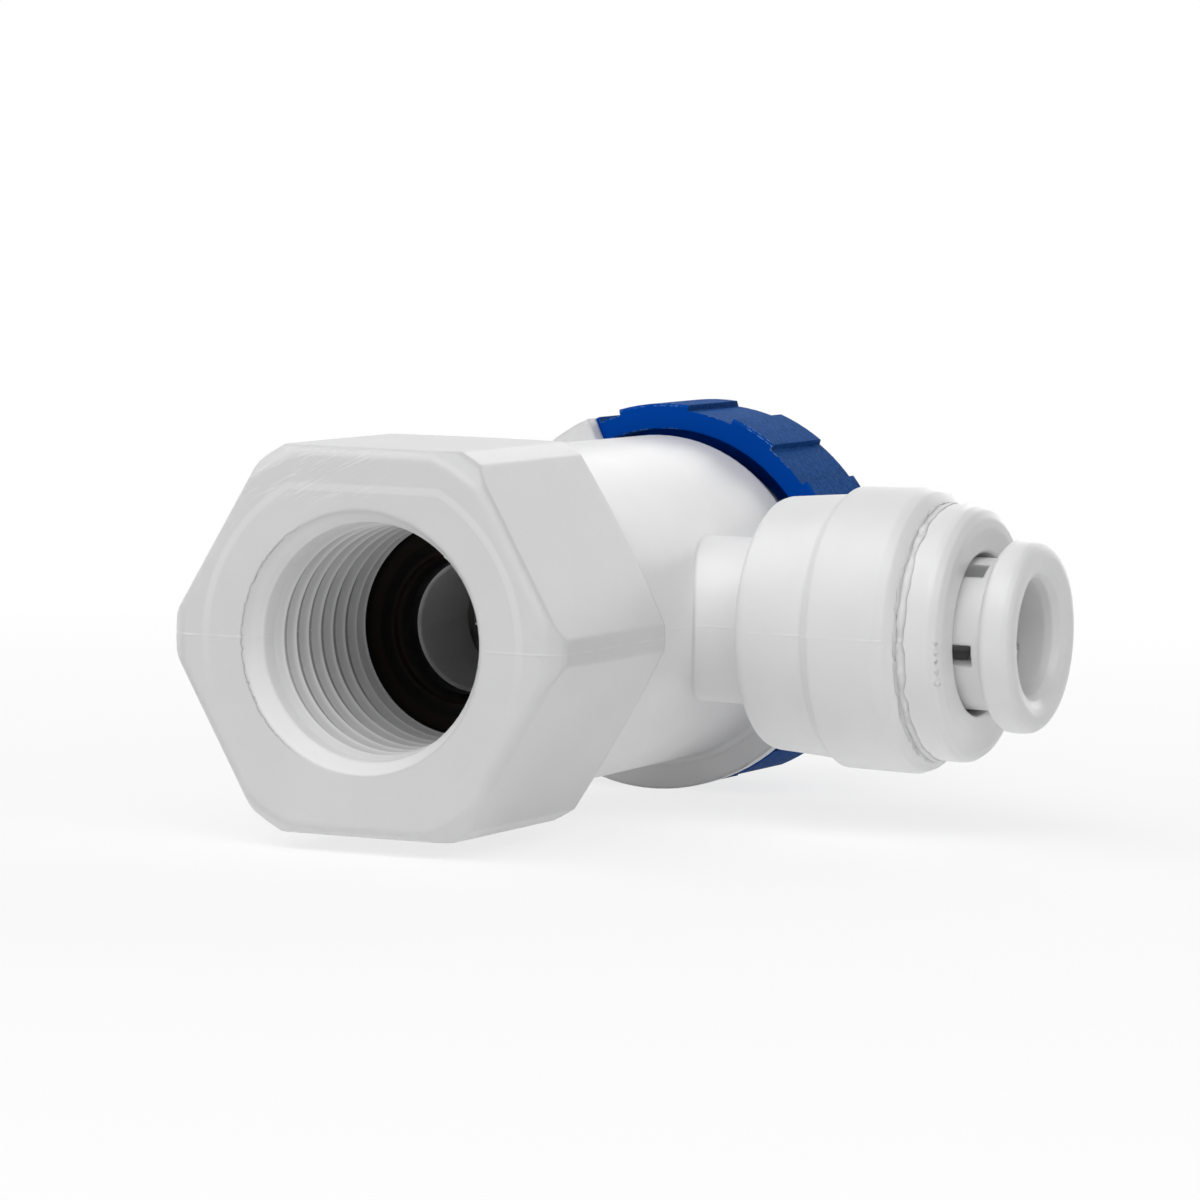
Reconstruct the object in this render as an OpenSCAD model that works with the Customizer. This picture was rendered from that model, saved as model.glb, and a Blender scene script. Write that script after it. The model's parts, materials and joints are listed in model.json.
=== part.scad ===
// Angle valve for a small water storage tank: a hexagon with a thread socket, a cylindrical body
// with a quarter-turn ball inside, a knob at the far end and a push-fit tube outlet on the side.
// The thread axis lies along Y. The origin is where the thread socket's wall begins, just behind
// the countersunk mouth, and the tube leaves along +X.

/* [Hexagon and thread socket] */
// width of the hexagon across its flats, mm
hex_af = 21.2; // [20.4:0.1:22.4]
// length of the hexagon along the thread axis, mm
hex_len = 13.9; // [12:0.1:15]
// softening of the hexagon's front edges, mm
edge_r = 0.7; // [0.3:0.1:1]
// radius of the countersunk mouth at the front face, mm
mouth_r = 7.2; // [7:0.05:7.6]
// depth of the countersunk mouth, mm
lead = 1.25; // [0.8:0.05:1.5]
// radius of the thread socket's wall, mm
socket_r = 6.55; // [6.3:0.05:6.7]
// depth of the socket from the start of its wall to the floor under the seal, mm
socket_depth = 13.4; // [12.9:0.05:13.9]
// thickness of the rubber seal on the socket floor, mm
seal_t = 1.9; // [1.5:0.1:3]
// radius of the hole through the seal, mm
seal_hole_r = 3.8; // [3.7:0.05:4.4]
// radius of the water inlet behind the seal, mm
inlet_r = 3.6; // [2.6:0.1:3.6]

/* [Body] */
// radius of the body at the hexagon, mm
body_front_r = 9.84; // [9.7:0.02:10.2]
// radius of the body at its rear end, mm
body_rear_r = 9.67; // [9.5:0.01:9.7]
// distance from the start of the socket's wall to the body's rear end, mm
body_len = 38.05; // [36:0.05:43]
// radius of the partial stop flange at the rear end, mm
flange_r = 11.47; // [11.2:0.01:11.5]
// thickness of the stop flange, mm
flange_t = 1.1; // [0.9:0.1:1.1]
// angle of the open part of the stop flange, degrees
gap_angle = 156; // [152:1:162]
// angle at which the stop flange begins, from +X towards +Z, degrees
gap_top = 114.5; // [112:0.5:117]

/* [Ball and stem] */
// radius of the ball, mm
ball_r = 5.8; // [5.6:0.1:5.9]
// radius of the ball's waterway, mm
port_r = 2.3; // [1.8:0.1:2.4]
// radius of the stem in its bearing, mm
stem_r = 2.85; // [2.7:0.05:2.9]
// width of the stem's square drive, mm
drive_w = 4.0; // [3.8:0.1:4.1]
// thickness of the stem's tongue in the ball's slot, mm
tongue_t = 2.1; // [1.8:0.1:2.4]

/* [Knob] */
// radius over the knob's raised lands, mm
knob_r = 11.5; // [11.5:0.01:11.8]
// depth of the shallow recesses between the lands, mm
knob_recess = 0.35; // [0.2:0.05:0.5]
// number of lands round the knob
knob_lands = 12; // [8:1:14]
// length of the knob along the thread axis, mm
knob_len = 7.55; // [7.5:0.05:9]
// width of the grip bar across the knob's end, mm
bar_w = 7.4; // [7:0.1:9]
// depth of the two half-round hollows beside the grip bar, mm
hollow_depth = 4.2; // [2:0.1:4.3]

/* [Tube outlet] */
// radius of the neck between body and outlet, mm
neck_r = 4.77; // [4.4:0.01:5.2]
// distance from the thread axis to the outlet's rear shoulder, mm
shoulder_x = 13.2; // [13:0.1:15]
// radius of the outlet's first section at the shoulder, mm
first_r = 7.25; // [7.1:0.05:7.4]
// radius of the outlet's second section, mm
second_r = 8.05; // [7.8:0.05:8.3]
// radius of the welded end cap, mm
cap_r = 7.3; // [7.1:0.05:7.5]
// radius of the tube socket in the body, mm
tube_r = 3.27; // [3.24:0.01:3.3]
// radius over the collet's sleeve, mm
sleeve_r = 4.32; // [4.3:0.01:4.4]
// radius of the collet's push flange, mm
push_r = 5.46; // [5.3:0.02:5.8]
// width of each slot in the collet, mm
slot_w = 1.2; // [0.8:0.1:1.4]

/* [Hidden] */
$fn = 96;

white = [0.88, 0.89, 0.9];
blue = [0.02, 0.25, 0.58];
black = [0.04, 0.04, 0.045];
steel = [0.75, 0.76, 0.78];
pale = [0.8, 0.8, 0.76];

relief_r = socket_r + 0.35;              // relief behind the thread, where the seal sits
corner_r = hex_af * 0.559;               // turned radius over the hexagon's corners
rear_rise = 0.7;                         // length of the turned cone behind the hexagon
cavity_r = ball_r + 1.1;                 // chamber round the ball
cavity_y = body_len - 18.5;              // where the chamber begins
branch_y = cavity_y + ball_r + 0.61;     // height of the tube axis along the thread axis
seat_in_r = port_r + 0.2;
seat_out_r = 3.95;
seat_back = cavity_r + 0.7;              // plane of the seats' backs, from the thread axis
seat_ring_t = 1.0;                       // room for the rubber ring behind each seat
tongue_y = branch_y + 4.0;               // floor of the ball's slot
collar_y = branch_y + ball_r + 0.3;      // front face of the stem's collar
collar_t = 1.5;
collar_r = 4.4;
washer_y = collar_y + collar_t + 0.05;
washer_t = 0.5;
bonnet_y = washer_y + washer_t + 0.05;   // front face of the bonnet
boss_r = 8.7;
boss_y = body_len + 3.1;                 // rear end of the body's boss inside the knob
bonnet_lip_y = boss_y - 1.4;
bonnet_end = boss_y - 0.2;
stem_bore_r = stem_r + 0.07;
stem_ring_y1 = bonnet_y + 1.4;
stem_ring_y2 = bonnet_y + 3.6;
stem_ring_s = 0.6;                       // section radius of the stem's rubber rings
bonnet_ring_y = bonnet_y + 2.5;
bonnet_ring_s = 0.55;
flange_y = body_len - 0.2;
knob_y = flange_y + flange_t + 0.25;     // front face of the knob's rim
knob_end = knob_y + knob_len;
cup_r = 10;                              // inside of the knob's cup
cup_floor = boss_y + 0.5;
lug_angle = gap_angle - 91;              // leaves a quarter turn and a small margin
lug_low = gap_top - gap_angle + 0.5;
drive_y = boss_y - 0.4;                  // where the stem's square begins
drive_end = cup_floor + 2.0;
screw_floor = drive_end + 0.5;           // floor of the screw's recess in the knob
screw_recess_r = 3.0;
screw_r = 1.45;

neck_in_r = 2.3;
tube_stop = shoulder_x + 0.7;            // where the pushed-in tube ends
chamber_x = tube_stop + 2.9;             // where the rubber ring's chamber begins
chamber_r = 5.05;
ring_s = 0.98;                           // section radius of the tube's rubber ring
ring_x = chamber_x + ring_s + 0.05;
spacer_x = ring_x + ring_s + 0.05;
spacer_t = 0.7;
plug_x = spacer_x + spacer_t + 0.1;      // end of the cap's plug inside the outlet
plug_r = 6.3;
weld_x = shoulder_x + 9.85;              // weld seam between outlet and end cap
cap_x = weld_x + 2.6;                    // front face of the end cap
tip_x = spacer_x + spacer_t + 1.7;       // ends of the collet's fingers
bump_r = sleeve_r + 0.78;
sleeve_in_r = tube_r - 0.02;
slot_end = cap_x + 0.8;
fingers = 5;                             // slots in the collet, a tooth between each pair
push_x = cap_x + 1.5;                    // rear face of the collet's push flange
push_t = 2.0;
lip_r = 1.2;                             // rounding of the collet's hole
tooth_x = tip_x + 0.55;

// points along an arc about c, from angle a to angle b
function arc(c, r, a, b, n = 4) =
    [for (i = [0:n]) c + r * [cos(a + (b - a) * i / n), sin(a + (b - a) * i / n)]];

// lays a shape drawn along Z down along the thread axis
module along_y(y = 0) translate([0, y, 0]) rotate([-90, 0, 0]) children();

// lays a shape drawn along Z down along the tube axis
module along_x(x = 0) translate([x, branch_y, 0]) rotate([0, 90, 0]) children();

// a round bar from height a to height b, with its radius at each end
module bar(a, b, r1, r2) translate([0, 0, a]) cylinder(h = b - a, r1 = r1, r2 = r2);

// a turned ring from height a to height b
module tube(a, b, r_in, r_out) difference() {
    bar(a, b, r_out, r_out);
    bar(a - 1, b + 1, r_in, r_in);
}

// a wedge of up to 180 degrees about Z, from angle a to angle a + w
module wedge(a, w, h, r = 30) linear_extrude(height = h)
    polygon([[0, 0], for (i = [0:4]) r * [cos(a + w * i / 4), sin(a + w * i / 4)]]);

// a wedge about the thread axis, its angle counted from +X towards +Z
module wedge_y(a, w, y0, y1) along_y(y0) wedge(-a - w, w, y1 - y0);

// a rubber ring with a round section
module rubber_ring(r, s) rotate_extrude() translate([r, 0]) circle(r = s, $fn = 32);

// the hexagon, turned over its corners and behind, with softened front edges
module hexagon_block() translate([0, -lead, 0]) intersection() {
    difference() {
        along_y() cylinder(h = hex_len + rear_rise, r = hex_af / sqrt(3), $fn = 6);
        for (i = [0:5]) for (a = [22.5, 45, 67.5]) rotate([0, i * 60, 0])
            translate([0, edge_r * (1 - cos(a)), hex_af / 2 - edge_r * (1 - sin(a))])
                rotate([90 - a, 0, 0]) translate([-20, -20, 0]) cube([40, 40, 5]);
    }
    along_y() rotate_extrude() polygon([[0, 0], [corner_r - 1, 0], [corner_r - 0.7, 0.15],
        [corner_r - 0.15, 0.75], [corner_r, 1.15], [corner_r, hex_len],
        [corner_r - 2, hex_len + rear_rise], [0, hex_len + rear_rise]]);
}

// outside of the tube outlet: neck, shoulder, first section, step and second section
module outlet_solid() along_x() rotate_extrude() polygon([
    [0, 6], [neck_r, 6], [neck_r, shoulder_x], [first_r - 0.55, shoulder_x],
    [first_r - 0.3, shoulder_x + 0.07], [first_r - 0.1, shoulder_x + 0.24], [first_r, shoulder_x + 0.55],
    [first_r + 0.3, shoulder_x + 4.3],
    [second_r - 0.05, shoulder_x + 4.8], [second_r + 0.05, weld_x - 1.0], [second_r - 0.15, weld_x - 0.45],
    [second_r - 0.45, weld_x - 0.2], [cap_r, weld_x], [0, weld_x]]);

module valve_body() color(white) difference() {
    union() {
        hexagon_block();
        along_y() bar(hex_len - lead - 0.5, body_len, body_front_r, body_rear_r);
        along_y() bar(body_len - 0.5, boss_y, boss_r, boss_r);
        difference() {
            along_y() union() {
                bar(flange_y, flange_y + flange_t, flange_r, flange_r);
                bar(flange_y - 0.4, flange_y, body_rear_r, body_rear_r + 0.4);
            }
            wedge_y(gap_top - gap_angle, gap_angle, flange_y - 1, flange_y + 2);
        }
        outlet_solid();
    }
    along_y() rotate_extrude() polygon([
        [0, -lead - 1], [mouth_r + 0.01, -lead - 1], [mouth_r, -lead], [socket_r, 0],
        [socket_r, socket_depth - seal_t], [relief_r, socket_depth - seal_t], [relief_r, socket_depth],
        [inlet_r, socket_depth], [inlet_r, cavity_y], [cavity_r, cavity_y], [cavity_r, bonnet_lip_y],
        [boss_r - 0.9, bonnet_lip_y], [boss_r - 0.9, boss_y + 1], [0, boss_y + 1]]);
    along_x() rotate_extrude() polygon([
        [0, 3], [seat_out_r + 0.05, 3], [seat_out_r + 0.05, seat_back + seat_ring_t],
        [neck_in_r, seat_back + seat_ring_t], [neck_in_r, tube_stop], [tube_r, tube_stop],
        [tube_r, chamber_x], [chamber_r, chamber_x], [chamber_r, plug_x], [plug_r + 0.05, plug_x],
        [plug_r + 0.05, weld_x + 1], [0, weld_x + 1]]);
    mirror([1, 0, 0]) along_x() bar(3, seat_back + seat_ring_t, seat_out_r + 0.05, seat_out_r + 0.05);
}

module tank_seal() color(black) along_y() rotate_extrude() polygon([
    [seal_hole_r, socket_depth], [seal_hole_r, socket_depth - seal_t + 0.75],
    [seal_hole_r + 0.45, socket_depth - seal_t + 0.35], [seal_hole_r + 0.55, socket_depth - seal_t],
    [relief_r - 0.05, socket_depth - seal_t], [relief_r - 0.05, socket_depth]]);

module ball() color(pale) difference() {
    translate([0, branch_y, 0]) rotate([-90, 0, 0]) sphere(r = ball_r);
    along_x() bar(0, ball_r + 1, port_r, port_r);
    along_y() bar(branch_y - ball_r - 1, branch_y, port_r + 0.3, port_r + 0.3);
    translate([0, branch_y, 0]) sphere(r = port_r + 0.3, $fn = 48);
    translate([-tongue_t / 2 - 0.05, tongue_y, -8]) cube([tongue_t + 0.1, 8, 16]);
}

// a seat on the +X side of the ball, with a hollow face that follows the ball
module seat_shape() difference() {
    along_x() tube(4.4, seat_back, seat_in_r, seat_out_r);
    translate([0, branch_y, 0]) rotate([-90, 0, 0]) sphere(r = ball_r + 0.05);
}
module seat_ring_shape() along_x(seat_back + seat_ring_t / 2)
    rubber_ring((seat_in_r + seat_out_r) / 2, seat_ring_t / 2 - 0.02);

module outlet_seat() color(pale) seat_shape();
module blank_seat() color(pale) mirror([1, 0, 0]) seat_shape();
module outlet_seat_ring() color(black) seat_ring_shape();
module blank_seat_ring() color(black) mirror([1, 0, 0]) seat_ring_shape();

module stem() color(white) difference() {
    union() {
        intersection() {
            translate([-tongue_t / 2, tongue_y + 0.1, -8]) cube([tongue_t, collar_y - tongue_y, 16]);
            along_y() bar(tongue_y, collar_y + 1, 3.9, 3.9);
        }
        along_y() {
            bar(collar_y, collar_y + collar_t, collar_r, collar_r);
            bar(collar_y, drive_y, stem_r, stem_r);
        }
        translate([-drive_w / 2, drive_y - 0.5, -drive_w / 2]) cube([drive_w, drive_end - drive_y + 0.4, drive_w]);
    }
    for (y = [stem_ring_y1, stem_ring_y2])
        along_y(y) tube(-0.65, 0.65, stem_bore_r - 0.02 - 2 * stem_ring_s, stem_r + 1);
    along_y() bar(drive_y - 1, drive_end + 1, screw_r + 0.05, screw_r + 0.05);
}
module stem_ring_shape(y) along_y(y) rubber_ring(stem_bore_r - 0.02 - stem_ring_s, stem_ring_s);
module stem_ring_inner() color(black) stem_ring_shape(stem_ring_y1);
module stem_ring_outer() color(black) stem_ring_shape(stem_ring_y2);

module thrust_washer() color(pale) along_y() tube(washer_y, washer_y + washer_t, stem_r + 0.1, collar_r + 0.2);

module bonnet() color(white) along_y() difference() {
    union() {
        bar(bonnet_y, bonnet_lip_y + 0.5, cavity_r - 0.05, cavity_r - 0.05);
        bar(bonnet_lip_y, bonnet_end, boss_r - 0.95, boss_r - 0.95);
    }
    bar(bonnet_y - 1, bonnet_end + 1, stem_bore_r, stem_bore_r);
    translate([0, 0, bonnet_ring_y])
        tube(-0.6, 0.6, cavity_r - 0.02 - 2 * bonnet_ring_s, cavity_r + 1);
}
module bonnet_ring() color(black) along_y(bonnet_ring_y)
    rubber_ring(cavity_r - 0.02 - bonnet_ring_s, bonnet_ring_s);

// outside of the knob: a turned drum with lands and shallow recesses
module knob_drum() intersection() {
    along_y() union() {
        bar(knob_y, knob_end, knob_r - knob_recess, knob_r - knob_recess);
        for (i = [0:knob_lands - 1]) intersection() {
            bar(knob_y, knob_end, knob_r, knob_r);
            rotate([0, 0, -61.5 - 90 / knob_lands + i * 360 / knob_lands])
                wedge(0, 180 / knob_lands, 60);
        }
        // the land over the stop is wider than the others
        intersection() {
            bar(knob_y, knob_end, knob_r, knob_r);
            rotate([0, 0, -69.5 - 450 / knob_lands]) wedge(0, 12, 60);
        }
    }
    along_y() rotate_extrude() polygon([[0, knob_y], [knob_r - 0.12, knob_y], [knob_r, knob_y + 0.12],
        [knob_r, knob_end - 0.3], [knob_r - 0.3, knob_end], [0, knob_end]]);
}

module knob() color(blue) difference() {
    union() {
        knob_drum();
        intersection() {
            along_y() tube(flange_y, knob_y + 1, cup_r - 0.05, knob_r - knob_recess - 0.05);
            wedge_y(lug_low, lug_angle, flange_y - 1, knob_y + 2);
        }
    }
    along_y() bar(flange_y - 1, cup_floor, cup_r, cup_r);
    difference() {
        along_y() bar(knob_end - hollow_depth, knob_end + 1, cup_r - 0.1, cup_r - 0.1);
        translate([-20, knob_end - 10, -bar_w / 2]) cube([40, 12, bar_w]);
    }
    translate([-drive_w / 2 - 0.04, cup_floor - 1, -drive_w / 2 - 0.04])
        cube([drive_w + 0.08, drive_end - cup_floor + 1, drive_w + 0.08]);
    along_y() {
        bar(drive_end - 1, screw_floor + 1, screw_r + 0.25, screw_r + 0.25);
        bar(screw_floor, knob_end + 1, screw_recess_r, screw_recess_r);
    }
}

module screw_washer() color(steel) along_y()
    tube(screw_floor, screw_floor + 0.4, screw_r + 0.15, screw_recess_r - 0.15);

module knob_screw() color(steel) along_y(screw_floor + 0.4) difference() {
    union() {
        rotate_extrude() polygon([[0, 0], [2.7, 0], [2.7, 0.45], [2.3, 0.85], [1.4, 1.05], [0, 1.1]]);
        bar(drive_y - 0.8 - screw_floor - 0.4, 0.1, screw_r, screw_r);
    }
    for (a = [0, 90]) rotate([0, 0, a + 20]) translate([-1.3, -0.25, 0.45]) cube([2.6, 0.5, 2]);
}

module screw_cap() color(blue) along_y() difference() {
    bar(screw_floor + 1.6, knob_end - 0.05, screw_recess_r - 0.04, screw_recess_r - 0.04);
    bar(screw_floor + 1, screw_floor + 1.75, 2.4, 2.4);
}

module end_cap() color(white) along_x() rotate_extrude() polygon([
    [sleeve_r + 0.3, cap_x - 0.25], [sleeve_r + 0.45, cap_x - 0.12], [cap_r - 1.3, cap_x],
    [cap_r - 0.75, cap_x - 0.04], [cap_r - 0.3, cap_x - 0.25], [cap_r - 0.05, cap_x - 0.6],
    [cap_r, cap_x - 0.95], [cap_r - 0.05, weld_x + 0.02], [plug_r, weld_x + 0.02], [plug_r, plug_x + 0.05],
    [bump_r + 0.3, plug_x + 0.05], [bump_r + 0.3, tip_x + 1.35], [sleeve_r + 0.3, tip_x + 2.05]]);

module spacer_ring() color(pale) along_x()
    tube(spacer_x, spacer_x + spacer_t, sleeve_in_r + 0.1, chamber_r - 0.05);

module tube_ring() color(black) along_x(ring_x) rubber_ring(chamber_r - 0.01 - ring_s, ring_s);

// a steel tooth set in the inside of one collet finger; grow widens it for the finger's pocket
module tooth_shape(i, grow) along_x() rotate([0, 0, i * 360 / fingers + 180 / fingers - 78])
    intersection() {
        rotate_extrude() polygon([
            [tube_r - 0.2 - grow, tooth_x + 0.25 - grow], [sleeve_r - 0.15 + grow, tooth_x + 0.7 - grow],
            [sleeve_r - 0.15 + grow, tooth_x + 0.95 + grow], [tube_r - 0.2 - grow, tooth_x + 0.5 + grow]]);
        wedge(-13 - grow * 15, 26 + grow * 30, 60);
    }

module collet() color(white) difference() {
    along_x() rotate_extrude() polygon(concat([
        [sleeve_in_r, tip_x], [bump_r - 0.2, tip_x], [bump_r, tip_x + 0.2], [bump_r, tip_x + 1.3],
        [sleeve_r, tip_x + 2.1], [sleeve_r, push_x - 0.2], [sleeve_r + 0.06, push_x - 0.06],
        [sleeve_r + 0.2, push_x]],
        arc([push_r - 0.55, push_x + 0.55], 0.55, -90, 0),
        arc([push_r - 0.8, push_x + push_t - 0.8], 0.8, 0, 90),
        arc([sleeve_in_r + lip_r, push_x + push_t - lip_r], lip_r, 90, 180)));
    for (i = [0:fingers - 1]) along_x(tip_x - 1) rotate([0, 0, i * 360 / fingers - 78])
        translate([0, -slot_w / 2, 0]) cube([10, slot_w, slot_end - tip_x + 1]);
    for (i = [0:4]) tooth_shape(i, 0.02);
}

module tooth_1() color(steel) tooth_shape(0, 0);
module tooth_2() color(steel) tooth_shape(1, 0);
module tooth_3() color(steel) tooth_shape(2, 0);
module tooth_4() color(steel) tooth_shape(3, 0);
module tooth_5() color(steel) tooth_shape(4, 0);

valve_body();
tank_seal();
ball();
outlet_seat();
blank_seat();
outlet_seat_ring();
blank_seat_ring();
stem();
stem_ring_inner();
stem_ring_outer();
thrust_washer();
bonnet();
bonnet_ring();
knob();
knob_screw();
screw_washer();
screw_cap();
end_cap();
spacer_ring();
tube_ring();
collet();
tooth_1();
tooth_2();
tooth_3();
tooth_4();
tooth_5();
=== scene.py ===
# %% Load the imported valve
import json
import math

import bmesh
import bpy
from mathutils import Euler, Matrix, Vector, noise


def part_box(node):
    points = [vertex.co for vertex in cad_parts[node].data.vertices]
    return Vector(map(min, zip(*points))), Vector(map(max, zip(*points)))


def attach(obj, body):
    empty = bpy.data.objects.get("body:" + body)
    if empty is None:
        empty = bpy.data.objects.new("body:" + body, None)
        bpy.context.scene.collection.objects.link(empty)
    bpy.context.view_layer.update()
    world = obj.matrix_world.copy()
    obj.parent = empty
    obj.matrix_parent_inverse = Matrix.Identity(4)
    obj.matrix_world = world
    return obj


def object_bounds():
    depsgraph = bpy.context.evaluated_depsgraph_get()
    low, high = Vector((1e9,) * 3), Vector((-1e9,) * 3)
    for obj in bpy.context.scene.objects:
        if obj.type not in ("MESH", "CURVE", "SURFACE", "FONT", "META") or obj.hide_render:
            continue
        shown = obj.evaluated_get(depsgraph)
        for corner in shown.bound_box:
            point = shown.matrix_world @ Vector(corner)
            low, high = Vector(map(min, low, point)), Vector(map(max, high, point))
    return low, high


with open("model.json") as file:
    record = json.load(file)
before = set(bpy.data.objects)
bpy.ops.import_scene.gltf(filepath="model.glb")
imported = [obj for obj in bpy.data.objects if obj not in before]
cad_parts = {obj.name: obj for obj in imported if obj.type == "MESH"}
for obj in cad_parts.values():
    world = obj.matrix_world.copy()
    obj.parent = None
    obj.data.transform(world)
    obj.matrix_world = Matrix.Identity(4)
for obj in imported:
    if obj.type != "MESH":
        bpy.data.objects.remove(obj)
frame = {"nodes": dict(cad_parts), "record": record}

MM = 0.001
cad_box = [list(corner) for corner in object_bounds()]
for plain in list(bpy.data.materials):
    bpy.data.materials.remove(plain)
print("pieces of the packed valve:", len(frame["nodes"]))
print("box in mm:", [[round(v / MM, 2) for v in corner] for corner in cad_box])

# %% [markdown]
# # A tank valve, finished for the shelf
# The real object is a small shut-off valve. A hexagon with a thread inside screws onto a water tank, a
# blue knob at the far end turns the ball, and a short outlet on the side grips a plastic tube.
# The solids come packed, with their sizes settled. This script gives them their finishes, adds the fine
# relief that a moulding has, such as the thread, the parting line and the weld bead, and lights the whole
# on a pale table.
#
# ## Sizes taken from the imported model
# A measure typed twice can drift apart, so a size is read from the box of a piece or from a mount of the
# record wherever it can be. The thread runs along Y, the outlet points along X, and the thread's pitch is
# that of a pipe thread with 18 turns to the inch. Its crests close in with depth, as the thread is
# tapered.

# %% Sizes of the socket, the outlet and the knob
mounts = {m["name"]: m for m in frame["record"]["mounts"]}
face_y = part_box("valve_body")[0].y
seal_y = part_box("tank_seal")[0].y
socket_r = mounts["tank_thread"]["dims"]["r_mm"] * MM
mouth_r = 7.2 * MM
pitch = 25.4 / 18 * MM
crest_r = 6.34 * MM
crest_slope = 0.022

outlet_y = mounts["tube_port"]["pos_m"][1]
weld_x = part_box("valve_body")[1].x
cap_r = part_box("end_cap")[1].z
cap_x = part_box("end_cap")[1].x

knob_depth = 7.55 * MM
rim_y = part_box("knob")[1].y - knob_depth
table_z = cad_box[0][2]
print("socket radius", socket_r, "outlet axis", outlet_y, "weld at", weld_x, "table at", table_z)

# %% [markdown]
# ## The camera
# The photograph was taken with a long lens, a little above the valve and to its right. The place and the
# turn of the camera were fitted to points whose size is known, such as the thread's crests. A camera
# looks down when it isn't turned, so it is first tilted up until it looks along the table, then leant a
# little, then turned to the left.

# %% Camera
tilt, lean, heading = 85.352417, -1.135569, 24.757007
eye = Vector((156.83, -311.79, 30.90)) * MM

lens = bpy.data.cameras.new("camera")
lens.sensor_width = 36.0
lens.lens = 193.44
lens.clip_start, lens.clip_end = 0.01, 50.0
camera = bpy.data.objects.new("camera", lens)
bpy.context.scene.collection.objects.link(camera)
turned = Euler([math.radians(angle) for angle in (tilt, lean, heading)]).to_matrix()
camera.matrix_world = Matrix.Translation(eye) @ turned.to_4x4()
bpy.context.scene.camera = camera
bpy.context.scene.view_settings.view_transform = "Standard"
print("camera", round(eye.length, 3), "m from the socket, lens", lens.lens, "mm")

# %% [markdown]
# ## Table, tent and light
# A product picture is taken in a white tent: broad lights above, weaker light all round, and a white
# table that throws light back up under the object. A table that is only painted white comes out grey,
# because it also carries the shadow. So the camera sees it partly as a plain glow of strength 1, and more
# so further off, until it meets the white of the world. Other rays see white board that shines a little,
# as the table is also lit from below, and the soft shadow stays. The table lies a hair under the valve,
# so that the two surfaces don't flicker into each other.

# %% Table top
board = bmesh.new()
bmesh.ops.create_grid(board, x_segments=8, y_segments=8, size=20.0)
for v in board.verts:
    v.co.z = table_z - 0.02 * MM
table_mesh = bpy.data.meshes.new("table")
board.to_mesh(table_mesh)
board.free()
table = bpy.data.objects.new("table", table_mesh)
bpy.context.scene.collection.objects.link(table)
print("table at", round(table_z / MM, 2), "mm")

# %% [markdown]
# ### Board and glow
# Light Path tells which kind of ray is looking. The camera, a mirror and clear plastic should all show
# the same white background, so the three kinds are joined by taking the largest. The tent's walls need
# the same question, so it is a helper. The share of glow grows with the distance from the valve.

# %% White board
def seen_directly(nodes, link):
    """1 where the camera looks, straight or by way of a mirror or clear plastic, and 0 for plain light."""
    rays = nodes.new("ShaderNodeLightPath")
    seen = rays.outputs["Is Camera Ray"]
    for kind in ("Is Glossy Ray", "Is Transmission Ray"):
        larger = nodes.new("ShaderNodeMath")
        larger.operation = "MAXIMUM"
        link(seen, larger.inputs[0])
        link(rays.outputs[kind], larger.inputs[1])
        seen = larger.outputs[0]
    return seen


glow_near, glow_far = 0.72, 1.0
near, far = 0.03, 0.16
white_board = bpy.data.materials.new("white_board")
white_board.use_nodes = True
nodes, link = white_board.node_tree.nodes, white_board.node_tree.links.new
paint = nodes["Principled BSDF"]
paint.inputs["Base Color"].default_value = (0.92, 0.92, 0.92, 1)
paint.inputs["Roughness"].default_value = 0.9
paint.inputs["Specular IOR Level"].default_value = 0.1
paint.inputs["Emission Color"].default_value = (1, 1, 1, 1)
paint.inputs["Emission Strength"].default_value = 0.10
glow = nodes.new("ShaderNodeEmission")
where = nodes.new("ShaderNodeTexCoord")
distance = nodes.new("ShaderNodeVectorMath")
distance.operation = "LENGTH"
rise = nodes.new("ShaderNodeMapRange")
for name, number in (("From Min", near), ("From Max", far), ("To Min", glow_near), ("To Max", glow_far)):
    rise.inputs[name].default_value = number
share = nodes.new("ShaderNodeMath")
share.operation = "MULTIPLY"
both = nodes.new("ShaderNodeMixShader")
link(where.outputs["Object"], distance.inputs[0])
link(distance.outputs["Value"], rise.inputs["Value"])
link(rise.outputs["Result"], share.inputs[0])
link(seen_directly(nodes, link), share.inputs[1])
link(share.outputs[0], both.inputs["Fac"])
link(paint.outputs[0], both.inputs[1])
link(glow.outputs[0], both.inputs[2])
link(both.outputs[0], nodes["Material Output"].inputs["Surface"])
table_mesh.materials.append(white_board)
print("board glows by", glow_near, "near the valve and", glow_far, "further off")

# %% [markdown]
# ### Tent
# The tent's cloth lights the valve very weakly, because the lamps do most of the work, yet it has to look
# white where it is seen. So it has two strengths, and the same question decides between them.

# %% White tent round the table
tent = bpy.data.worlds.new("tent")
bpy.context.scene.world = tent
tent.use_nodes = True
nodes, link = tent.node_tree.nodes, tent.node_tree.links.new
walls = nodes["Background"]
backdrop = nodes.new("ShaderNodeBackground")
for cloth, strength in ((walls, 0.02), (backdrop, 1.0)):
    cloth.inputs["Color"].default_value = (1, 1, 1, 1)
    cloth.inputs["Strength"].default_value = strength
both = nodes.new("ShaderNodeMixShader")
link(seen_directly(nodes, link), both.inputs["Fac"])
link(walls.outputs[0], both.inputs[1])
link(backdrop.outputs[0], both.inputs[2])
link(both.outputs[0], nodes["World Output"].inputs["Surface"])
print("tent walls", walls.inputs["Strength"].default_value, "and white where they are seen")

# %% [markdown]
# ### Soft boxes
# Four square soft boxes stand about half a metre from the valve, and all point at its middle. One is high
# in front, one on each side, and a low one behind lifts the knob and the upper edges off the white. Their
# powers were set by comparing the shades of flat places, such as the hexagon's sides, with the
# photograph.

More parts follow.
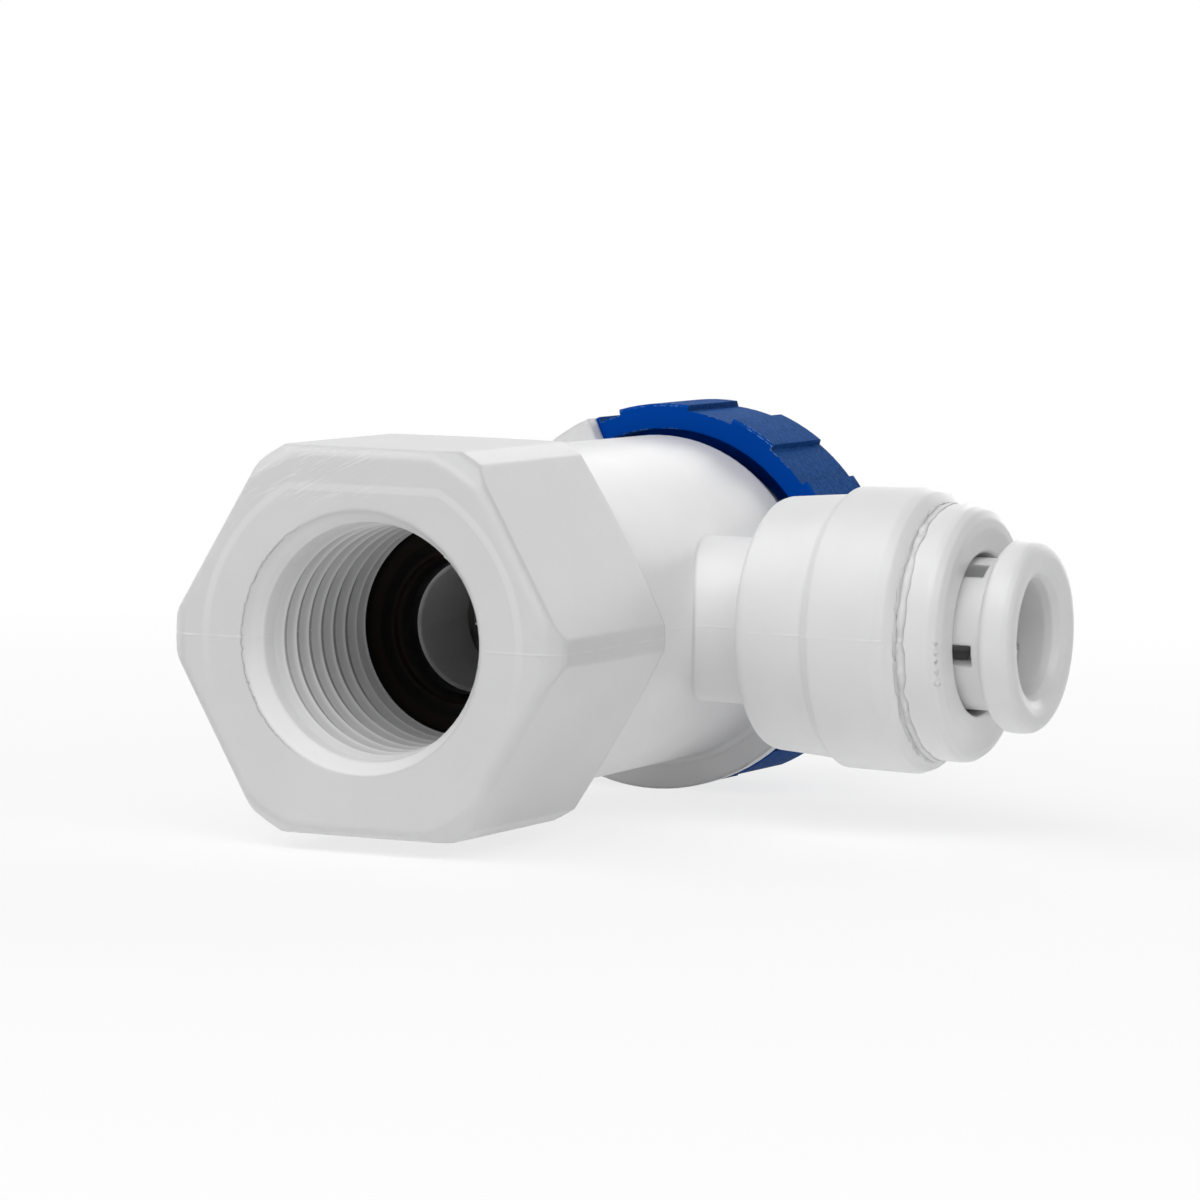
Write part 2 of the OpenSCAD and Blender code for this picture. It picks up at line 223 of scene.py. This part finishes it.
# %% Soft boxes
def soft_box(name, place, power):
    lamp = bpy.data.lights.new(name, "AREA")
    lamp.shape = "RECTANGLE"
    lamp.size = lamp.size_y = box_side
    lamp.energy = power
    box = bpy.data.objects.new(name, lamp)
    box.location = place
    box.rotation_euler = (middle - Vector(place)).to_track_quat("-Z", "Y").to_euler()
    bpy.context.scene.collection.objects.link(box)


box_side = 0.42
middle = Vector((0.008, 0.022, 0.0))
soft_box("top_light", (-0.023, -0.318, 0.494), 1.46)
soft_box("left_light", (-0.383, -0.038, 0.451), 1.05)
soft_box("right_light", (0.338, -0.278, 0.402), 1.06)
soft_box("back_light", (0.008, 0.603, 0.151), 0.86)

# %% [markdown]
# ## Finishes
# Each finish is one shader with a few procedural helpers: a cloud of noise at a real size, a blend of two
# colours by such a cloud, and a relief that only tilts the surface. Object coordinates are used
# throughout: the pieces sit in the valve's own frame in metres, so a grain of a quarter millimetre is
# written as one, and it stays on its piece when the knob turns. A small bevel in the shader rounds the
# look of the sharp edges, as a mould does.

# %% Start a finish, and do sums in it
def new_finish(name, rough, bevel):
    mat = bpy.data.materials.new(name)
    mat.use_nodes = True
    shader = mat.node_tree.nodes["Principled BSDF"]
    shader.inputs["Roughness"].default_value = rough
    coords = mat.node_tree.nodes.new("ShaderNodeTexCoord")
    rounded = mat.node_tree.nodes.new("ShaderNodeBevel")
    rounded.samples = 4
    rounded.inputs["Radius"].default_value = bevel
    return mat, shader, coords, rounded.outputs["Normal"]


def maths(mat, kind, a, b=0.0):
    node = mat.node_tree.nodes.new("ShaderNodeMath")
    node.operation = kind
    for socket, value in zip(node.inputs, (a, b)):
        if isinstance(value, (int, float)):
            socket.default_value = value
        else:
            mat.node_tree.links.new(value, socket)
    return node.outputs[0]


def product(mat, *shares):
    result = shares[0]
    for share in shares[1:]:
        result = maths(mat, "MULTIPLY", result, share)
    return result


def axis(mat, coords, letter, output="Object"):
    node = mat.node_tree.nodes.new("ShaderNodeSeparateXYZ")
    mat.node_tree.links.new(coords.outputs[output], node.inputs[0])
    return node.outputs[letter]


print("helpers for sums:", [helper.__name__ for helper in (new_finish, maths, product, axis)])

# %% [markdown]
# ### Clouds, ramps, blends and relief
# Four more helpers turn numbers into looks. A cloud is noise whose lumps have one size, and which can be
# drawn out into hairs. A ramp picks the part of a number that matters, with soft ends, so that no mark
# has a jagged edge. A blend lays a colour over another, and a relief makes the surface look raised where
# a number is high.

# %% Clouds, ramps, blends and relief
def cloud(mat, coords, size, detail=2.0, stretch=(1, 1, 1), tilt=0.0):
    """Noise with lumps of one size, drawn out along the axes, which tilt round Y first."""
    nodes, link = mat.node_tree.nodes, mat.node_tree.links.new
    pull = nodes.new("ShaderNodeMapping")
    pull.vector_type = "TEXTURE"
    pull.inputs["Scale"].default_value = stretch
    pull.inputs["Rotation"].default_value = (0, math.radians(tilt), 0)
    grain = nodes.new("ShaderNodeTexNoise")
    grain.inputs["Scale"].default_value = 1.0 / size
    grain.inputs["Detail"].default_value = detail
    link(coords.outputs["Object"], pull.inputs["Vector"])
    link(pull.outputs["Vector"], grain.inputs["Vector"])
    return grain.outputs["Fac"]


def ramp(mat, value, low, high, at_low=0.0, at_high=1.0):
    node = mat.node_tree.nodes.new("ShaderNodeMapRange")
    node.interpolation_type = "SMOOTHSTEP"
    for name, number in (("From Min", low), ("From Max", high), ("To Min", at_low), ("To Max", at_high)):
        node.inputs[name].default_value = number
    mat.node_tree.links.new(value, node.inputs["Value"])
    return node.outputs["Result"]


def blend(mat, share, first, second):
    node = mat.node_tree.nodes.new("ShaderNodeMix")
    node.data_type = "RGBA"
    mat.node_tree.links.new(share, node.inputs["Factor"])
    for socket, colour in ((node.inputs["A"], first), (node.inputs["B"], second)):
        if isinstance(colour, tuple):
            socket.default_value = (*colour, 1)
        else:
            mat.node_tree.links.new(colour, socket)
    return node.outputs["Result"]


def relief(mat, height, depth, under):
    node = mat.node_tree.nodes.new("ShaderNodeBump")
    node.inputs["Strength"].default_value = 1.0
    node.inputs["Distance"].default_value = depth
    mat.node_tree.links.new(height, node.inputs["Height"])
    mat.node_tree.links.new(under, node.inputs["Normal"])
    return node.outputs["Normal"]


print("helpers for looks:", [helper.__name__ for helper in (cloud, ramp, blend, relief)])

# %% [markdown]
# ### White moulding
# All white pieces are one dull engineering plastic. What tells it from a plain white solid is faint: slow
# changes of tone, a few darker specks in the plastic, and an orange-peel skin of two sizes. The end cap
# and the collet come from a polished mould, so they are glossier than the body.

# %% White moulding
def white_moulding(name, tone, rough, skin, bevel):
    mat, shader, coords, normal = new_finish(name, rough, bevel)
    drift = ramp(mat, cloud(mat, coords, 5 * MM, 3.0), 0.3, 0.7)
    colour = blend(mat, drift, tuple(0.965 * t for t in tone), tone)
    specks = ramp(mat, cloud(mat, coords, 0.35 * MM, 4.0), 0.70, 0.77)
    colour = blend(mat, product(mat, specks, 0.08), colour, (0.45, 0.44, 0.42))
    normal = relief(mat, cloud(mat, coords, 0.6 * MM, 3.0), skin, normal)
    normal = relief(mat, cloud(mat, coords, 0.12 * MM, 2.0), 0.35 * skin, normal)
    return mat, shader, coords, colour, normal


def finish_white(mat, shader, coords, colour, normal):
    mat.node_tree.links.new(colour, shader.inputs["Base Color"])
    mat.node_tree.links.new(normal, shader.inputs["Normal"])
    return mat


clean_white = (0.88, 0.88, 0.885)
bright_white = (0.98, 0.98, 0.98)
white_gloss = finish_white(*white_moulding("white_gloss", clean_white, 0.28, 0.006 * MM, 0.25 * MM))
print("white finish:", white_gloss.name)

# %% [markdown]
# ### Where a mark lies
# Marks are placed by the distance from the socket's axis and by lines along which a number is zero. Both
# come up several times, so they are helpers too.

# %% Distances and thin lines
def distance_from_axis(mat, coords):
    across = mat.node_tree.nodes.new("ShaderNodeVectorMath")
    across.operation = "MULTIPLY"
    across.inputs[1].default_value = (1, 0, 1)
    size = mat.node_tree.nodes.new("ShaderNodeVectorMath")
    size.operation = "LENGTH"
    mat.node_tree.links.new(coords.outputs["Object"], across.inputs[0])
    mat.node_tree.links.new(across.outputs[0], size.inputs[0])
    return size.outputs["Value"]


def thin_line(mat, value, half_width):
    return ramp(mat, maths(mat, "ABSOLUTE", value), 0.4 * half_width, half_width, 1.0, 0.0)


def before_seal(mat, y):
    return ramp(mat, y, seal_y, seal_y + 0.2 * MM, 1.0, 0.0)


print("helpers for places:", [helper.__name__ for helper in (distance_from_axis, thin_line, before_seal)])

# %% [markdown]
# ### Inner white, for the thread and what lies behind
# Between the thread's ridges little light comes out again. A real thread is cut
# deeper than the imported wall, so the finish paints in the rest of the shade: a painted shade that grows
# with the depth below the crests. The crests close in along the socket, so the depth counts from a radius
# that shrinks with Y. The stem and the bonnet wear the same white, and the painted shade ends at the seal.

# %% Inner white
def inner_white():
    name, tone, skin, bevel = "white_inner", (0.86, 0.86, 0.86), 0.003 * MM, 0.02 * MM
    mat, shader, coords, colour, normal = white_moulding(name, tone, 0.45, skin, bevel)
    y = axis(mat, coords, "Y")
    narrowing = product(mat, maths(mat, "SUBTRACT", y, face_y), crest_slope)
    depth = maths(mat, "SUBTRACT", maths(mat, "ADD", distance_from_axis(mat, coords), narrowing), crest_r)
    # Painted shade: the thread's deeper parts are darkened by their depth below the crests, up to the seal.
    shade = product(mat, ramp(mat, depth, 0.04 * MM, 0.20 * MM, 0.0, 0.24), before_seal(mat, y),
                    ramp(mat, y, 1.2 * MM, 2.6 * MM))
    colour = blend(mat, shade, colour, (0.26, 0.26, 0.27))
    return finish_white(mat, shader, coords, colour, normal)


white_inner = inner_white()
print("inner white shades below a radius of", round(crest_r / MM, 2), "mm")

# %% [markdown]
# ### Painted light and shade on the body
# The hexagon is painted a little greyer than the rest: a painted shade. The socket's mouth is painted the
# brightest white, most at its bottom and on its inner wall: a painted light where light falls in from
# above.
# The valleys of the wall between the ridges get a painted shade, as the thread does.

# %% Painted light and shade on the body
def painted_light_and_shade(mat, colour, radius, y, z):
    # Painted shade: the hexagon is blended towards a darker grey.
    hexagon_shade = ramp(mat, y, 12 * MM, 16.5 * MM, 0.40, 0.0)
    outside = ramp(mat, radius, socket_r + 0.3 * MM, mouth_r)
    colour = blend(mat, product(mat, hexagon_shade, outside), colour, (0.60, 0.60, 0.605))

    # Painted light: the mouth is whitened, fully at its bottom and on its inner wall, a quarter at its top.
    in_mouth = product(mat, ramp(mat, radius, mouth_r - 0.1 * MM, mouth_r + 0.05 * MM, 1.0, 0.0),
                       ramp(mat, y, 1.4 * MM, 3.4 * MM, 1.0, 0.0))
    mouth_light_share = maths(mat, "MAXIMUM", ramp(mat, z, 1 * MM, -4 * MM, 0.25, 1.0),
                        ramp(mat, y, -0.4 * MM, 0.1 * MM))
    colour = blend(mat, product(mat, in_mouth, mouth_light_share), colour, bright_white)

    # Painted shade: the wall's valleys between the ridges are darkened.
    on_wall = product(mat, ramp(mat, radius, socket_r - 0.06 * MM, socket_r - 0.03 * MM),
                      ramp(mat, radius, socket_r + 0.1 * MM, socket_r + 0.2 * MM, 1.0, 0.0))
    valley_shade = product(mat, on_wall, ramp(mat, y, 2.0 * MM, 2.8 * MM), before_seal(mat, y))
    return blend(mat, product(mat, valley_shade, 0.5), colour, (0.10, 0.10, 0.10))


# Painted light: the mouth within this radius is whitened.
print("cleanest white within", round(mouth_r / MM, 2), "mm of the socket's axis")

# %% [markdown]
# ### Marks of the mould
# The body is moulded in two halves, and a thin raised line is left where they met. It runs half way up,
# where Z is nought, so the height alone finds it, and a slow cloud lets it come and go.
# Three marks belong to the hexagon's front only: the print of a mould insert round the socket, which is a
# round cut flat above and below, hair-fine scratches at the top left, and the ragged edge that the tool
# left at the mouth. They could be modelled, but they are a few hundredths of a millimetre deep, so a
# relief in the shader does better.

# %% Marks of the mould
def parting_line(mat, coords, colour, normal, x, z):
    wander = product(mat, cloud(mat, coords, 1.5 * MM), 0.06 * MM)
    joint = thin_line(mat, maths(mat, "ADD", z, wander), 0.08 * MM)
    joint = product(mat, joint, ramp(mat, cloud(mat, coords, 3 * MM, 2.0), 0.42, 0.6, 0.2, 1.0))
    clearest_left = ramp(mat, x, -7 * MM, -8 * MM, 0.22, 0.5)
    colour = blend(mat, product(mat, joint, clearest_left), colour, bright_white)
    return colour, relief(mat, joint, 0.016 * MM, normal)


def insert_print(mat, colour, normal, radius, z, on_face):
    print_r, print_flat = 9.5 * MM, 8.37 * MM
    round_part = maths(mat, "SUBTRACT", radius, print_r)
    flat_part = maths(mat, "SUBTRACT", maths(mat, "ABSOLUTE", z), print_flat)
    line = thin_line(mat, maths(mat, "MAXIMUM", round_part, flat_part), 0.3 * MM)
    line = product(mat, line, on_face, ramp(mat, z, -4 * MM, 4 * MM, 0.05, 1.0))
    colour = blend(mat, product(mat, line, 0.3), colour, bright_white)
    return colour, relief(mat, line, 0.012 * MM, normal)


def scratches(mat, coords, colour, normal, x, y, z):
    hairs = ramp(mat, cloud(mat, coords, 0.13 * MM, 3.0, stretch=(14, 1, 1), tilt=-28.0), 0.52, 0.66)
    corner = product(mat, ramp(mat, x, 2.5 * MM, -1.5 * MM), ramp(mat, z, 6.9 * MM, 8.6 * MM))
    front = ramp(mat, y, face_y + 1.0 * MM, face_y + 2.0 * MM, 1.0, 0.0)
    hairs = product(mat, hairs, corner, front)
    colour = blend(mat, product(mat, hairs, 0.35), colour, (0.99, 0.99, 0.99))
    return colour, relief(mat, hairs, 0.014 * MM, normal)


def ragged_mouth(mat, coords, colour, normal, radius, x, on_face):
    chips = product(mat, cloud(mat, coords, 0.35 * MM, 5.0), 0.3 * MM)
    edge = maths(mat, "SUBTRACT", radius, maths(mat, "ADD", mouth_r - 0.08 * MM, chips))
    ragged = product(mat, thin_line(mat, edge, 0.05 * MM), ramp(mat, x, -3.0 * MM, -5.5 * MM), on_face)
    colour = blend(mat, product(mat, ragged, 0.55), colour, (0.40, 0.39, 0.38))
    return colour, relief(mat, ragged, -0.03 * MM, normal)


print("marks:", [mark.__name__ for mark in (parting_line, insert_print, scratches, ragged_mouth)])

# %% [markdown]
# ### White body
# The body's finish is the white moulding with its painted light and shade and its marks laid over it, one
# after the other.
# Its edges are the softest of all, so its bevel is the widest.

# %% White body
def marked_body():
    mat, shader, coords, colour, normal = white_moulding("white_body", clean_white, 0.34, 0.008 * MM,
                                                         0.4 * MM)
    radius = distance_from_axis(mat, coords)
    x, y, z = (axis(mat, coords, letter) for letter in "XYZ")
    on_face = ramp(mat, y, face_y + 0.02 * MM, face_y + 0.3 * MM, 1.0, 0.0)
    # Painted shade on the hexagon and in the valleys, and painted light in the mouth.
    colour = painted_light_and_shade(mat, colour, radius, y, z)
    colour, normal = parting_line(mat, coords, colour, normal, x, z)
    colour, normal = insert_print(mat, colour, normal, radius, z, on_face)
    colour, normal = scratches(mat, coords, colour, normal, x, y, z)
    colour, normal = ragged_mouth(mat, coords, colour, normal, radius, x, on_face)
    return finish_white(mat, shader, coords, colour, normal)


white_body = marked_body()
print("body finish:", white_body.name, "with", len(white_body.node_tree.nodes), "nodes")

# %% [markdown]
# ### Blue knob
# The knob is moulded in a clear, strong blue. Its lands and recesses have a fine spark-eroded grain,
# while the front of the rim is smooth. The grain is a cloud with quarter millimetre lumps that both tilts
# the surface and shifts the tone, and the surface's own direction tells the smooth front from the grained
# sides. A strong blue looks chalky when the plastic mirrors too much white, so the specular level is low.
# Pale painted highlights, which stand for glints, lie on the rim's front edges, mostly at the top, and a
# relief tilts the surface under them. An edge is found by comparing the rounded normal with the true one,
# which differ only there, and a cloud breaks the line of painted highlights up.

# %% Blue finish
def near_edges(mat, reach):
    """1 within a short reach of any sharp edge, 0 elsewhere."""
    rounded = mat.node_tree.nodes.new("ShaderNodeBevel")
    rounded.samples = 4
    rounded.inputs["Radius"].default_value = reach
    surface = mat.node_tree.nodes.new("ShaderNodeNewGeometry")
    agree = mat.node_tree.nodes.new("ShaderNodeVectorMath")
    agree.operation = "DOT_PRODUCT"
    mat.node_tree.links.new(rounded.outputs["Normal"], agree.inputs[0])
    mat.node_tree.links.new(surface.outputs["Normal"], agree.inputs[1])
    return ramp(mat, agree.outputs["Value"], 0.90, 0.985, 1.0, 0.0)


# Mask of the painted highlights: the rim's front edges, mostly at the top.
def edge_glints(mat, coords):
    y, z = axis(mat, coords, "Y"), axis(mat, coords, "Z")
    near_rim = ramp(mat, y, rim_y + 0.1 * MM, rim_y + 0.35 * MM, 1.0, 0.0)
    upper = ramp(mat, z, 6.5 * MM, 8.5 * MM)
    fine = ramp(mat, cloud(mat, coords, 0.25 * MM, 4.0), 0.42, 0.58)
    patchy = ramp(mat, cloud(mat, coords, 1.6 * MM, 3.0), 0.44, 0.56)
    return product(mat, near_edges(mat, 0.11 * MM), near_rim, upper, fine, patchy)


def blue_moulding():
    mat, shader, coords, normal = new_finish("blue_knob", 0.6, 0.12 * MM)
    shader.inputs["Specular IOR Level"].default_value = 0.02
    facing = ramp(mat, maths(mat, "ABSOLUTE", axis(mat, coords, "Y", "Normal")), 0.5, 0.8)
    grain = cloud(mat, coords, 0.28 * MM, 3.0)
    colour = blend(mat, ramp(mat, grain, 0.35, 0.65), (0.003, 0.062, 0.25), (0.014, 0.094, 0.34))
    colour = blend(mat, facing, colour, (0.0, 0.066, 0.42))
    glint_share = edge_glints(mat, coords)
    # Painted highlight: pale glints are blended in on the rim's upper front edges.
    colour = blend(mat, product(mat, glint_share, 0.85), colour, (0.28, 0.52, 0.78))
    mat.node_tree.links.new(colour, shader.inputs["Base Color"])
    rough_grain = product(mat, grain, maths(mat, "SUBTRACT", 1.0, facing))
    normal = relief(mat, rough_grain, 0.04 * MM, normal)
    mat.node_tree.links.new(relief(mat, glint_share, 0.04 * MM, normal), shader.inputs["Normal"])
    return mat


blue_knob = blue_moulding()
print("blue finish:", blue_knob.name)

# %% [markdown]
# ### Rubber, steel and the plain inner plastics
# Rubber is nearly black with a soft, even skin. The steel teeth and the screw are bright with fine drawn
# lines along the part. The ball, its seats and the small rings are a pale, waxy plastic. They are seen
# only through the openings or when the valve is taken apart, so one cloud and one relief each are enough.
# The seal on the socket's floor shows in the picture, and has two faint brown rings where nipples have
# pressed on it.

# %% Rubber, steel and pale plastic finishes
def simple_finish(name, first, second, rough, lump, depth, metal=0.0, stretch=(1, 1, 1), mirror=0.5):
    mat, shader, coords, normal = new_finish(name, rough, 0.05 * MM)
    shader.inputs["Metallic"].default_value = metal
    shader.inputs["Specular IOR Level"].default_value = mirror
    grain = cloud(mat, coords, lump, 4.0, stretch)
    colour = blend(mat, ramp(mat, grain, 0.3, 0.7), first, second)
    mat.node_tree.links.new(colour, shader.inputs["Base Color"])
    mat.node_tree.links.new(relief(mat, grain, depth, normal), shader.inputs["Normal"])
    return mat, shader, coords, colour


def ringed_seal():
    black, worn_black, brown = (0.0018, 0.0017, 0.0016), (0.0040, 0.0036, 0.0033), (0.014, 0.010, 0.007)
    mat, shader, coords, plain = simple_finish("seal_rubber", black, worn_black, 0.5, 0.6 * MM, 0.008 * MM,
                                               mirror=0.12)
    radius = distance_from_axis(mat, coords)
    outer = thin_line(mat, maths(mat, "SUBTRACT", radius, 5.5 * MM), 0.5 * MM)
    inner = thin_line(mat, maths(mat, "SUBTRACT", radius, 4.3 * MM), 0.3 * MM)
    colour = blend(mat, maths(mat, "MAXIMUM", outer, inner), plain, brown)
    mat.node_tree.links.new(colour, shader.inputs["Base Color"])
    return mat


seal_rubber = ringed_seal()
ring_rubber, *_ = simple_finish("ring_rubber", (0.010, 0.010, 0.011), (0.020, 0.020, 0.021), 0.38,
                                0.4 * MM, 0.006 * MM)
pale_plastic, *_ = simple_finish("pale_plastic", (0.70, 0.69, 0.64), (0.78, 0.77, 0.73), 0.35,
                                 2.0 * MM, 0.02 * MM)
steel, *_ = simple_finish("steel", (0.55, 0.56, 0.58), (0.72, 0.73, 0.75), 0.24, 0.12 * MM, 0.006 * MM,
                          metal=1.0, stretch=(1, 8, 1))
print("finishes:", sorted(m.name for m in bpy.data.materials))

# %% [markdown]
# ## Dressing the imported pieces
# The record says which finish each piece takes, so the list isn't typed again here.

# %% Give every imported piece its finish
finish_of = {m.name: m for m in (white_body, white_inner, white_gloss, blue_knob, seal_rubber, ring_rubber,
                                 pale_plastic, steel)}
for part in frame["record"]["subparts"]:
    piece = frame["nodes"][part["node"]]
    piece.data.materials.clear()
    piece.data.materials.append(finish_of[part["material_slot"]])

# %% [markdown]
# ## Building new pieces
# The new pieces are fine relief that sits on packed ones. Long ones are a small outline swept along a
# path: each slice is a ring of points, and faces join it to the next. Every piece is shaded smooth, apart
# from edges that turn by more than a given angle, rides on the body that carries it, and wears the finish
# that it is given.

# %% Helpers that sweep and place a mesh
def make_piece(name, maker, mat, body, slot, smooth_angle):
    mesh = bpy.data.meshes.new(name)
    maker.normal_update()
    maker.to_mesh(mesh)
    maker.free()
    mesh.materials.append(mat)
    piece = bpy.data.objects.new(name, mesh)
    bpy.context.scene.collection.objects.link(piece)
    mesh.shade_smooth()
    mesh.set_sharp_from_angle(angle=math.radians(smooth_angle))
    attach(piece, body)
    return piece


def sweep(slices, closed=False):
    """A closed skin through slices, each a list of points in the same order."""
    maker = bmesh.new()
    rows = [[maker.verts.new(p) for p in one] for one in slices]
    pairs = list(zip(rows, rows[1:])) + ([(rows[-1], rows[0])] if closed else [])
    for a, b in pairs:
        for i in range(len(a)):
            j = (i + 1) % len(a)
            maker.faces.new((a[i], a[j], b[j], b[i]))
    if not closed:
        maker.faces.new(list(reversed(rows[0])))
        maker.faces.new(rows[-1])
    bmesh.ops.recalc_face_normals(maker, faces=maker.faces)
    return maker


print("builders:", sweep.__name__, "and", make_piece.__name__)

# %% [markdown]
# ## Thread in the socket
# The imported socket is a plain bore, less deep than a real thread's root. Seven separate rings would be
# quick, but a real thread climbs, so one ridge is swept along a right-handed helix, with its foot in the
# wall. It begins bluntly at the upper right, behind the countersunk mouth, and ends as a level ring just
# in front of the seal. In the photograph each turn is one plain band up to a sharp crest, with a thin
# dark line behind it. A symmetric ridge on this shallow wall shows as a rope. So each turn has a long
# slope that faces the mouth and steepens towards its crest, a steep back, and a narrow valley between the
# two.

# %% Thread ridge
first_angle = math.radians(48)
first_y = face_y + 2.27 * MM
last_y = seal_y - 0.13 * MM
foot, edge = 0.06 * MM, 0.01 * MM
valley_w = 0.10 * MM
hidden_run = 1 / 0.46
steepest_front = 0.58
back_run = 0.30
front_slope = ((0.62, 0.30), (0.32, 0.59), (0.14, 0.80))


def thread_slice(angle, y, fade):
    crest = crest_r - crest_slope * (y - face_y)
    high = max((socket_r - crest) * fade, 0.01 * MM)
    front = max(pitch - high * hidden_run - valley_w, steepest_front * high)
    back = back_run * high
    outline = [(y - front, socket_r + foot), (y - front, socket_r + edge)]
    outline += [(y - run * front, socket_r - rise * high) for run, rise in front_slope]
    outline += [(y - 0.03 * MM, socket_r - 0.98 * high), (y, socket_r - high),
                (y + back, socket_r + edge), (y + back, socket_r + foot)]
    return [(r * math.cos(angle), level, r * math.sin(angle)) for level, r in outline]


steps, level_ring = 96, 0.62
turns = (last_y - first_y) / pitch
count = int(steps * (turns + level_ring))
slices = []
for i in range(count + 1):
    turn = i / steps
    y = min(first_y + pitch * turn, last_y)
    fade = min(1.0, 0.25 + i / 3, (count - i) / 12)
    slices.append(thread_slice(first_angle - turn * 2 * math.pi, y, fade))
thread = make_piece("socket_thread", sweep(slices), white_inner, "valve", "white_inner", 30.0)
print("thread:", len(slices), "slices,", len(thread.data.polygons), "faces")

# %% [markdown]
# ## Weld bead at the end cap
# The end cap is welded on by spinning or by ultrasound, which squeezes a little plastic out of the joint.
# A torus would be far too even. Here a small outline is swept round the tube's axis while noise pushes
# its height in and out, so the lip comes out thin and ragged, and it is lower at the top, where it was
# wiped. Beside the bead lies a flatter strand of flash.

# %% Weld bead and flash
def ragged_ring(name, x, radius, width, height, fine, seed):
    """A thin uneven lip round the outlet's axis; fine is how many waves its edge has in 1 mm."""
    slices = []
    count = 420
    sunk = -0.06 * MM
    for i in range(count):
        a = 2 * math.pi * i / count
        spot = Vector((math.cos(a), math.sin(a), seed)) * radius / MM * fine
        wiped = 0.3 * max(math.sin(a), 0.0)
        rise = height * max(-0.2, 0.5 - wiped + 0.9 * noise.noise(spot * 0.35) + 0.8 * noise.noise(spot))
        left = -0.5 * width * (1 + 0.5 * noise.noise(spot * 0.5 + Vector((3, 1, 7))))
        right = 0.5 * width * (1 + 0.7 * noise.noise(spot * 0.5 + Vector((8, 2, 5))))
        outline = [(left, sunk), (0.86 * left, 0.7 * rise), (0.5 * left, rise), (0.4 * right, 0.75 * rise),
                   (0.88 * right, 0.8 * rise), (right, sunk)]
        slices.append([(x + dx, outlet_y + (radius + r) * math.cos(a), (radius + r) * math.sin(a))
                       for dx, r in outline])
    return make_piece(name, sweep(slices, closed=True), white_body, "valve", "white_body", 50.0)


bead = ragged_ring("weld_bead", weld_x + 0.03 * MM, cap_r, 0.22 * MM, 0.17 * MM, 3.0, 1.0)
flash = ragged_ring("weld_flash", weld_x + 0.34 * MM, cap_r - 0.01 * MM, 0.5 * MM, 0.06 * MM, 2.4, 5.0)
print("weld:", len(bead.data.polygons) + len(flash.data.polygons), "faces")

# %% [markdown]
# ## Specks on the cap, and a flake at the mouth
# Five specks stand in a short row on the cap's front edge, where the plastic was torn off its gate, and
# one flake hangs from the mouth's right edge. Each is a ball pushed in and out by noise and pressed flat
# against its wall. They are given by their angle, as a row on a round edge is easiest to read that way.

# %% Gate specks
def speck(maker, centre, outward, size, seed):
    flat = 0.55
    made = bmesh.ops.create_icosphere(maker, subdivisions=3, radius=size)
    for v in made["verts"]:
        point = v.co * (1 + 0.5 * noise.noise(v.co / size * 1.1 + Vector((seed, 2, 9))))
        point -= outward * point.dot(outward) * flat
        v.co = centre + point


specks = bmesh.new()
row_r = cap_r - 0.33 * MM
row_x = cap_x - 0.22 * MM
for k, (angle, size) in enumerate(((-0.5, 0.11), (-4.5, 0.15), (-9.0, 0.11), (-14.0, 0.14), (-19.0, 0.19))):
    a = math.radians(angle)
    spot = Vector((row_x, outlet_y - row_r * math.cos(a), row_r * math.sin(a)))
    speck(specks, spot, Vector((0.5, -0.86 * math.cos(a), 0.86 * math.sin(a))), size * MM, 3.0 * k)
gate_specks = make_piece("gate_specks", specks, white_gloss, "valve", "white_gloss", 60.0)
print("gate specks:", len(gate_specks.data.polygons), "faces")

# %% Mouth flake
flake = bmesh.new()
a = math.radians(12)
outward = Vector((math.cos(a), 0, math.sin(a)))
spot = Vector((0, face_y + 0.21 * MM, 0)) + outward * (mouth_r - 0.12 * MM)
speck(flake, spot, Vector((0, 1, 0)).cross(outward), 0.15 * MM, 4.0)
mouth_flake = make_piece("mouth_flake", flake, white_body, "valve", "white_body", 60.0)
print("flake:", len(mouth_flake.data.polygons), "faces")
